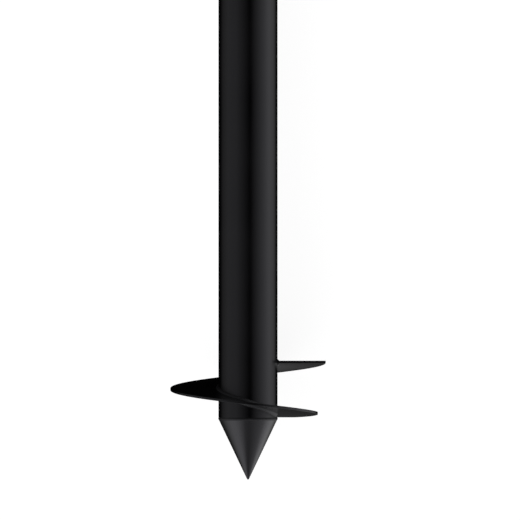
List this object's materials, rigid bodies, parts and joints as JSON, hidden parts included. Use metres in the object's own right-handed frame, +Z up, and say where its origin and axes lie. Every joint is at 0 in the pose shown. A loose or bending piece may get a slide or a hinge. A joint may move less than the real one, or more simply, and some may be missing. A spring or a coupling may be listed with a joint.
{
  "type": "helical pile",
  "caption": "Steel screw pile: long round tube with a cross hole at the head, a hollow cone tip and one turn of left-hand screw blade welded above it.",
  "frame": {"origin": "centre of the footprint, on the floor that the lying pile rests on", "axes": "+Y along the pile from its tip towards its head, +Z up, +X to the side of the blade's two end edges. The pile's own axis dips 1.5 degrees towards the head, because it rests on the blade's rim and on the head's lower edge."},
  "size_m": [0.2, 2.5002, 0.2009],
  "materials": {
    "black_enamel": "satin black enamel on smooth steel tube and sheet",
    "enamelled_weld": "satin black enamel over rippled weld beads"
  },
  "bodies": {
    "root": {"tube": "black_enamel", "tip_cone": "black_enamel", "blade": "black_enamel", "tip_weld": "enamelled_weld", "blade_weld_upper": "enamelled_weld", "blade_weld_lower": "enamelled_weld"}
  },
  "joints": []
}
